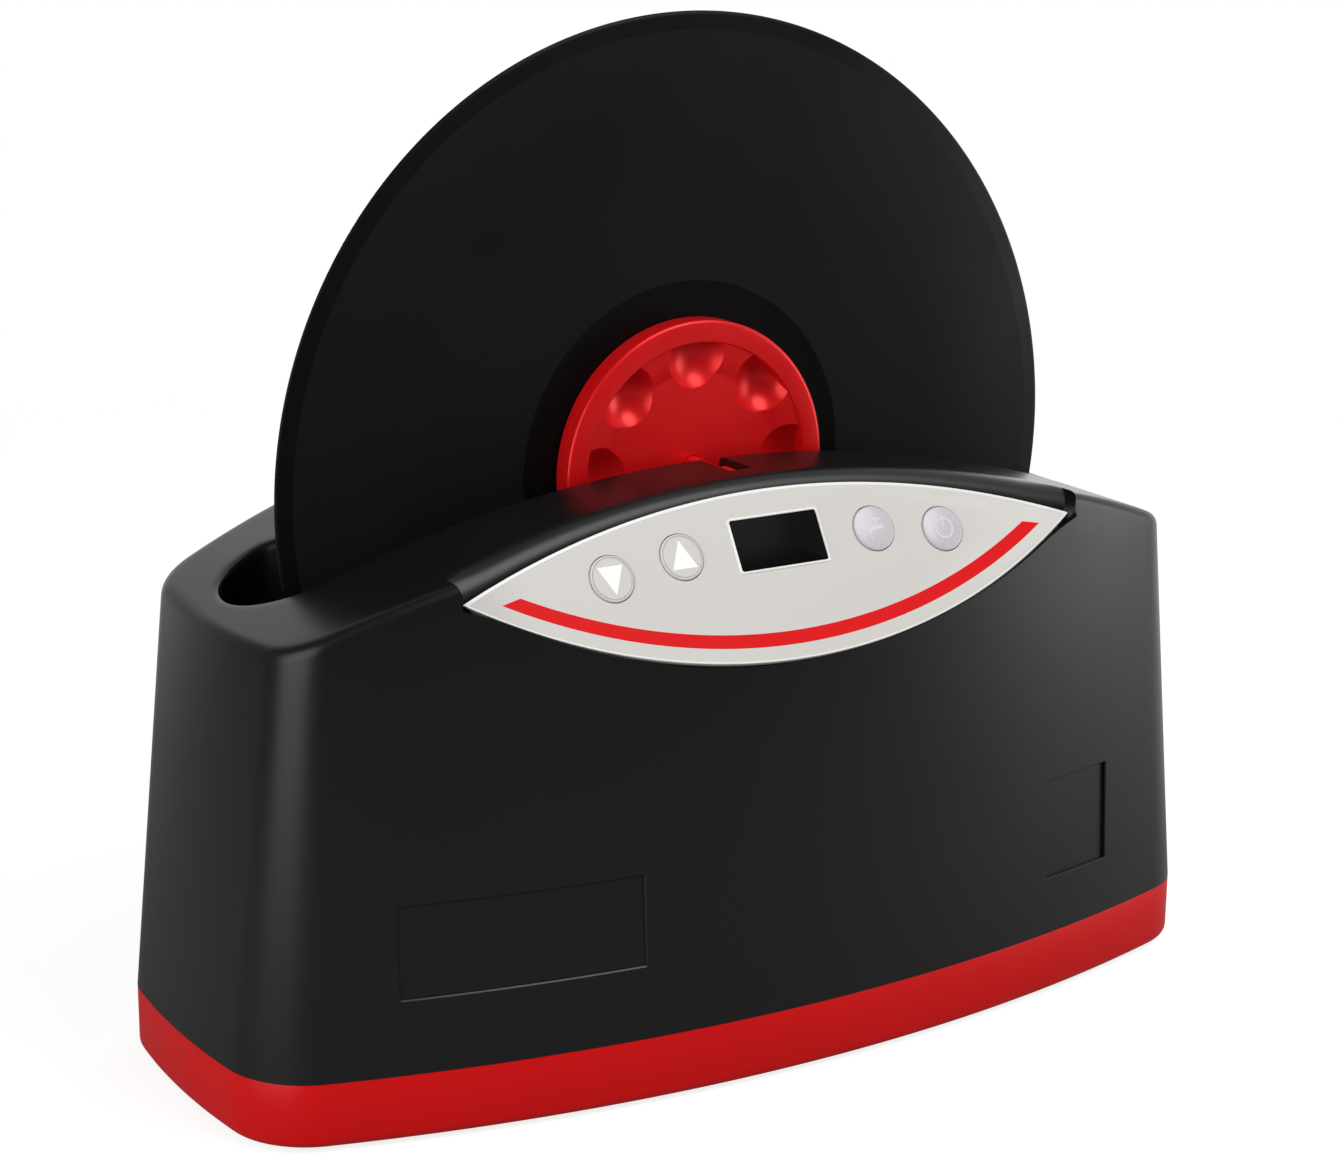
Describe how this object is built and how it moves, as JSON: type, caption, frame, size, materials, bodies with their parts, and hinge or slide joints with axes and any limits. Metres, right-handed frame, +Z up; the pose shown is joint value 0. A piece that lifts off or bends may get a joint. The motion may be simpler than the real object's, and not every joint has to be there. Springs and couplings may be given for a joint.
{
  "type": "record cleaning machine",
  "caption": "Free-standing ultrasonic record cleaner: slotted black housing on a red foot, tilted lens-shaped button panel, motor-turned label clamps holding a record.",
  "frame": {"origin": "on the table under the middle of the body's plan", "axes": "+X along the body to the right as seen from the front, -Y towards the user, +Z up"},
  "size_m": [0.378, 0.171, 0.3395],
  "materials": {
    "black_housing": "fine matt black moulded plastic",
    "red_plastic": "satin red moulded plastic",
    "rubber": "matt",
    "steel_screw": "zinc plated",
    "stainless": "pressed stainless steel",
    "grey_plastic": "dark grey moulded nylon",
    "aluminium": "turned",
    "ceramic": "piezo ceramic with brass electrodes",
    "steel": "turned",
    "fascia_grey": "warm pale grey satin",
    "stripe_red": "satin",
    "display_black": "gloss",
    "display_back": "matt",
    "circuit_board": "solder mask",
    "switch_black": "matt",
    "copper_winding": "enamelled copper and ferrite",
    "gearbox_brass": "zinc alloy",
    "gear_acetal": "natural acetal",
    "hose": "silicone hose",
    "vinyl": "pressed vinyl",
    "button_lilac": "pale translucent"
  },
  "bodies": {
    "chassis": {"housing": "black_housing", "base_tray": "red_plastic", "rubber_feet": "rubber", "housing_screws": "steel_screw", "tank": "stainless", "tank_seal": "rubber", "tank_screws": "steel_screw", "sump_strainer": "stainless", "drain_fitting": "grey_plastic", "level_probes": "stainless", "transducer_horns": "aluminium", "transducer_rings": "ceramic", "transducer_masses": "steel", "transducer_bolts": "steel", "fascia": "fascia_grey", "stripe_inlay": "stripe_red", "display_window": "display_black", "display_module": "display_back", "control_board": "circuit_board", "tact_switches": "switch_black", "board_screws": "steel_screw", "generator_board": "circuit_board", "generator_heatsink": "aluminium", "generator_transformer": "copper_winding", "generator_capacitors": "switch_black", "generator_screws": "steel_screw", "front_saddle": "grey_plastic", "drive_frame": "grey_plastic", "saddle_screws": "steel_screw", "gearbox": "gearbox_brass", "motor_can": "steel", "gearbox_screws": "steel_screw", "drain_pump": "grey_plastic", "pump_motor": "steel", "pump_screws": "steel_screw", "intake_hose": "hose", "outlet_hose": "hose", "drain_spigot": "grey_plastic", "spigot_nut": "grey_plastic", "power_inlet": "grey_plastic", "inlet_nut": "grey_plastic"},
    "carrier": {"front_bush": "red_plastic", "rear_bush": "red_plastic"},
    "record_set": {"axle": "red_plastic", "rear_clamp": "red_plastic", "rear_seal": "rubber", "record": "vinyl", "drive_pinion": "gear_acetal"},
    "clamp_ring": {"front_seal": "rubber"},
    "screw_clamp": {"front_clamp": "red_plastic"},
    "gear_train": {"motor_shaft": "stainless", "drive_gear": "gear_acetal"},
    "impeller": {"pump_impeller": "gear_acetal"},
    "up_key": {"up_button": "button_lilac"},
    "down_key": {"down_button": "button_lilac"},
    "tap_key": {"tap_button": "button_lilac"},
    "power_key": {"power_button": "button_lilac"}
  },
  "joints": [
    {"name": "record_lift", "type": "slide", "parent": "chassis", "child": "carrier", "axis": [0, 0, 1], "range_m": [0, 0.165]},
    {"name": "record_spin", "type": "hinge", "parent": "carrier", "child": "record_set", "pos_m": [0, 0, 0.189], "axis": [0, 1, 0], "continuous": true},
    {"name": "clamp_back_off", "type": "slide", "parent": "record_set", "child": "clamp_ring", "axis": [0, -1, 0], "range_m": [0, 0.00301]},
    {"name": "clamp_turn", "type": "hinge", "parent": "clamp_ring", "child": "screw_clamp", "pos_m": [0, -0.006, 0.189], "axis": [0, -1, 0], "range_deg": [0, 720]},
    {"name": "drive_spin", "type": "hinge", "parent": "chassis", "child": "gear_train", "pos_m": [0, 0.033, 0.17928], "axis": [0, 1, 0], "continuous": true},
    {"name": "pump_spin", "type": "hinge", "parent": "chassis", "child": "impeller", "pos_m": [0, 0.04, 0.023], "axis": [0, 1, 0], "continuous": true},
    {"name": "up_press", "type": "slide", "parent": "chassis", "child": "up_key", "axis": [0, 0.8572, -0.515], "range_m": [0, 0.0008], "stiffness_N_per_m": 400},
    {"name": "down_press", "type": "slide", "parent": "chassis", "child": "down_key", "axis": [0, 0.8572, -0.515], "range_m": [0, 0.0008], "stiffness_N_per_m": 400},
    {"name": "tap_press", "type": "slide", "parent": "chassis", "child": "tap_key", "axis": [0, 0.8572, -0.515], "range_m": [0, 0.0008], "stiffness_N_per_m": 400},
    {"name": "power_press", "type": "slide", "parent": "chassis", "child": "power_key", "axis": [0, 0.8572, -0.515], "range_m": [0, 0.0008], "stiffness_N_per_m": 400}
  ],
  "couplings": [
    {"joint": "clamp_back_off", "follows": "clamp_turn", "m_per_rad": 0.00023873},
    {"joint": "drive_spin", "follows": "record_spin", "ratio": -1}
  ]
}
